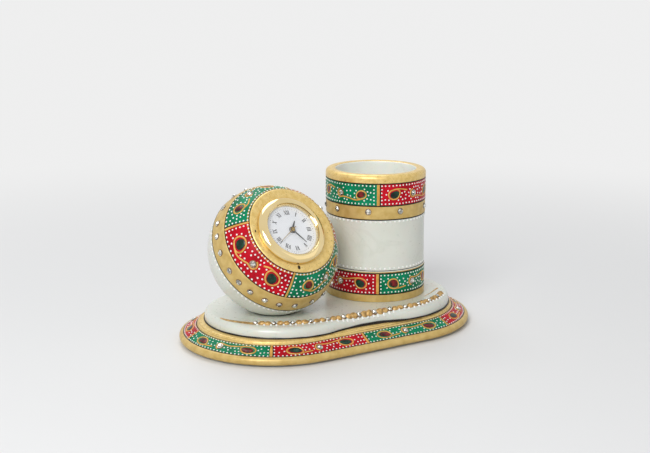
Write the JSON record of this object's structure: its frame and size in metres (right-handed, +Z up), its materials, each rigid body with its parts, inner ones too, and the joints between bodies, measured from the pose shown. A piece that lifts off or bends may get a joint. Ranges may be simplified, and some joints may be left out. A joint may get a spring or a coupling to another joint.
{
  "type": "pen stand with clock",
  "caption": "Marble desk stand with a round pen cup and a ball that holds a tilted insert clock, on a two-lobed slab and base painted with gold, green and red panels.",
  "frame": {"origin": "under the middle of the base, on the surface that the pads stand on", "axes": "+Z up, -Y the front that the clock faces, +X along the base from the clock to the pen cup"},
  "size_m": [0.1662, 0.1064, 0.0844],
  "materials": {
    "painted_marble": "polished, painted with gold, green and red panels",
    "white_marble": "polished",
    "felt": "soft",
    "polished_brass": "mirror polished",
    "clear_lens": "clear",
    "printed_dial": "matt, printed in black",
    "hand_brass": "satin",
    "dark_hand": "satin black",
    "black_plastic": "matt",
    "clear_rubber": "soft, slightly see-through",
    "gear_plastic": "satin",
    "gear_brass": "satin",
    "steel": "brushed",
    "magnet": "dark, matt",
    "copper_wire": "enamelled copper",
    "board": "green lacquer",
    "cut_stone": "clear, facetted, foil-backed"
  },
  "bodies": {
    "stand": {"base_plate": "painted_marble", "felt_pad_1": "felt", "felt_pad_2": "felt", "felt_pad_3": "felt", "felt_pad_4": "felt", "top_slab": "white_marble", "pen_cup": "painted_marble", "clock_ball": "painted_marble", "cup_lower_stone_1": "cut_stone", "cup_lower_stone_2": "cut_stone", "cup_lower_stone_3": "cut_stone", "cup_lower_stone_4": "cut_stone", "cup_upper_stone_1": "cut_stone", "cup_upper_stone_2": "cut_stone", "cup_upper_stone_3": "cut_stone", "cup_upper_stone_4": "cut_stone", "ball_stone_1": "cut_stone", "ball_stone_2": "cut_stone", "ball_stone_3": "cut_stone", "ball_stone_4": "cut_stone", "plate_stone_1": "cut_stone", "plate_stone_2": "cut_stone", "plate_stone_3": "cut_stone", "plate_stone_4": "cut_stone", "plate_stone_5": "cut_stone", "plate_stone_6": "cut_stone", "plate_stone_7": "cut_stone", "plate_stone_8": "cut_stone"},
    "insert": {"bezel": "polished_brass", "lens": "clear_lens", "clock_case": "black_plastic", "grip_sleeve": "clear_rubber", "dial": "printed_dial", "main_plate": "gear_plastic", "rear_bridge": "gear_plastic", "movement_screw_1": "steel", "movement_screw_2": "steel", "movement_screw_3": "steel", "stator": "steel", "coil": "copper_wire", "battery": "steel", "minus_contact": "gear_brass", "plus_contact": "gear_brass", "circuit_board": "board"},
    "hatch": {"battery_hatch": "black_plastic"},
    "minute_arbor": {"minute_hand": "dark_hand", "cannon_pinion": "gear_brass"},
    "motion_arbor": {"motion_wheel": "gear_plastic"},
    "hour_arbor": {"hour_hand": "dark_hand", "hour_wheel": "gear_plastic"},
    "knob": {"setting_knob": "gear_plastic"},
    "second_arbor": {"second_hand": "hand_brass", "seconds_wheel": "gear_brass"},
    "third_arbor": {"third_wheel": "gear_plastic"},
    "centre_arbor": {"centre_wheel": "gear_brass"},
    "step_arbor": {"step_wheel": "gear_plastic"},
    "rotor_arbor": {"rotor": "magnet"}
  },
  "joints": [
    {"name": "insert_slide", "type": "slide", "parent": "stand", "child": "insert", "axis": [0, -0.7912, 0.6115], "range_m": [0, 0.025]},
    {"name": "hatch_slide", "type": "slide", "parent": "insert", "child": "hatch", "axis": [0, 0.7912, -0.6115], "range_m": [0, 0.006]},
    {"name": "minute_turn", "type": "hinge", "parent": "insert", "child": "minute_arbor", "pos_m": [-0.0373, -0.02198, 0.06195], "axis": [0, -0.7912, 0.6115], "continuous": true},
    {"name": "motion_turn", "type": "hinge", "parent": "insert", "child": "motion_arbor", "pos_m": [-0.0425, -0.02014, 0.06432], "axis": [0, -0.7912, 0.6115], "continuous": true},
    {"name": "hour_turn", "type": "hinge", "parent": "insert", "child": "hour_arbor", "pos_m": [-0.0373, -0.02198, 0.06195], "axis": [0, -0.7912, 0.6115], "continuous": true},
    {"name": "knob_turn", "type": "hinge", "parent": "insert", "child": "knob", "pos_m": [-0.04637, -0.02352, 0.05995], "axis": [0, -0.7912, 0.6115], "continuous": true},
    {"name": "second_turn", "type": "hinge", "parent": "insert", "child": "second_arbor", "pos_m": [-0.0373, -0.02198, 0.06195], "axis": [0, -0.7912, 0.6115], "continuous": true},
    {"name": "third_turn", "type": "hinge", "parent": "insert", "child": "third_arbor", "pos_m": [-0.03107, -0.02059, 0.06374], "axis": [0, -0.7912, 0.6115], "continuous": true},
    {"name": "centre_turn", "type": "hinge", "parent": "insert", "child": "centre_arbor", "pos_m": [-0.0373, -0.02198, 0.06195], "axis": [0, -0.7912, 0.6115], "continuous": true},
    {"name": "step_turn", "type": "hinge", "parent": "insert", "child": "step_arbor", "pos_m": [-0.03884, -0.01939, 0.0653], "axis": [0, -0.7912, 0.6115], "continuous": true},
    {"name": "rotor_turn", "type": "hinge", "parent": "insert", "child": "rotor_arbor", "pos_m": [-0.04248, -0.0181, 0.06696], "axis": [0, -0.7912, 0.6115], "continuous": true}
  ],
  "couplings": [
    {"joint": "motion_turn", "follows": "minute_turn", "ratio": -0.33333},
    {"joint": "hour_turn", "follows": "minute_turn", "ratio": 0.083333},
    {"joint": "knob_turn", "follows": "minute_turn", "ratio": 0.66667},
    {"joint": "step_turn", "follows": "second_turn", "ratio": -5},
    {"joint": "rotor_turn", "follows": "second_turn", "ratio": 30},
    {"joint": "third_turn", "follows": "second_turn", "ratio": -0.13333},
    {"joint": "centre_turn", "follows": "second_turn", "ratio": 0.016667}
  ]
}
